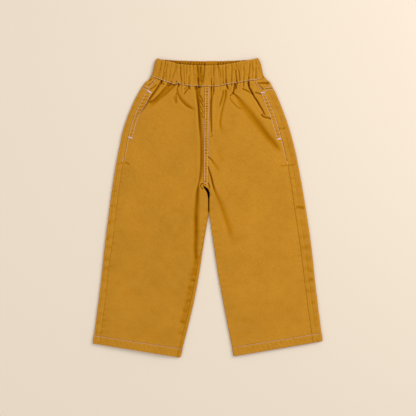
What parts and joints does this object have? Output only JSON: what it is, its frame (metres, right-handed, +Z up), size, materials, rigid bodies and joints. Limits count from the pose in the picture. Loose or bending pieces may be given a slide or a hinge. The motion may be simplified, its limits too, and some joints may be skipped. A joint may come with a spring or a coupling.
{
  "type": "child's trousers",
  "caption": "Small child's wide-leg pull-on trousers in mustard cotton twill, laid flat: gathered elastic waistband, curved side pocket openings, back yoke, stitched hems",
  "frame": {"origin": "on the surface the garment lies on, under the middle of the laid garment's bounding box", "axes": "+Z up out of the surface, +Y from the hems to the waist, +X to the right seen from above with the front up"},
  "size_m": [0.4248, 0.5523, 0.0069],
  "materials": {
    "waistband": "matte mustard cotton twill, gathered over elastic",
    "front_left": "matte mustard cotton twill, soft nap",
    "front_right": "matte mustard cotton twill, soft nap",
    "back_left": "matte mustard cotton twill, soft nap",
    "back_right": "matte mustard cotton twill, soft nap",
    "yoke_left": "matte mustard cotton twill, soft nap",
    "yoke_right": "matte mustard cotton twill, soft nap"
  },
  "bodies": {
    "root": {"waistband": "waistband", "front_left": "front_left", "front_right": "front_right", "back_left": "back_left", "back_right": "back_right", "yoke_left": "yoke_left", "yoke_right": "yoke_right"}
  },
  "joints": []
}
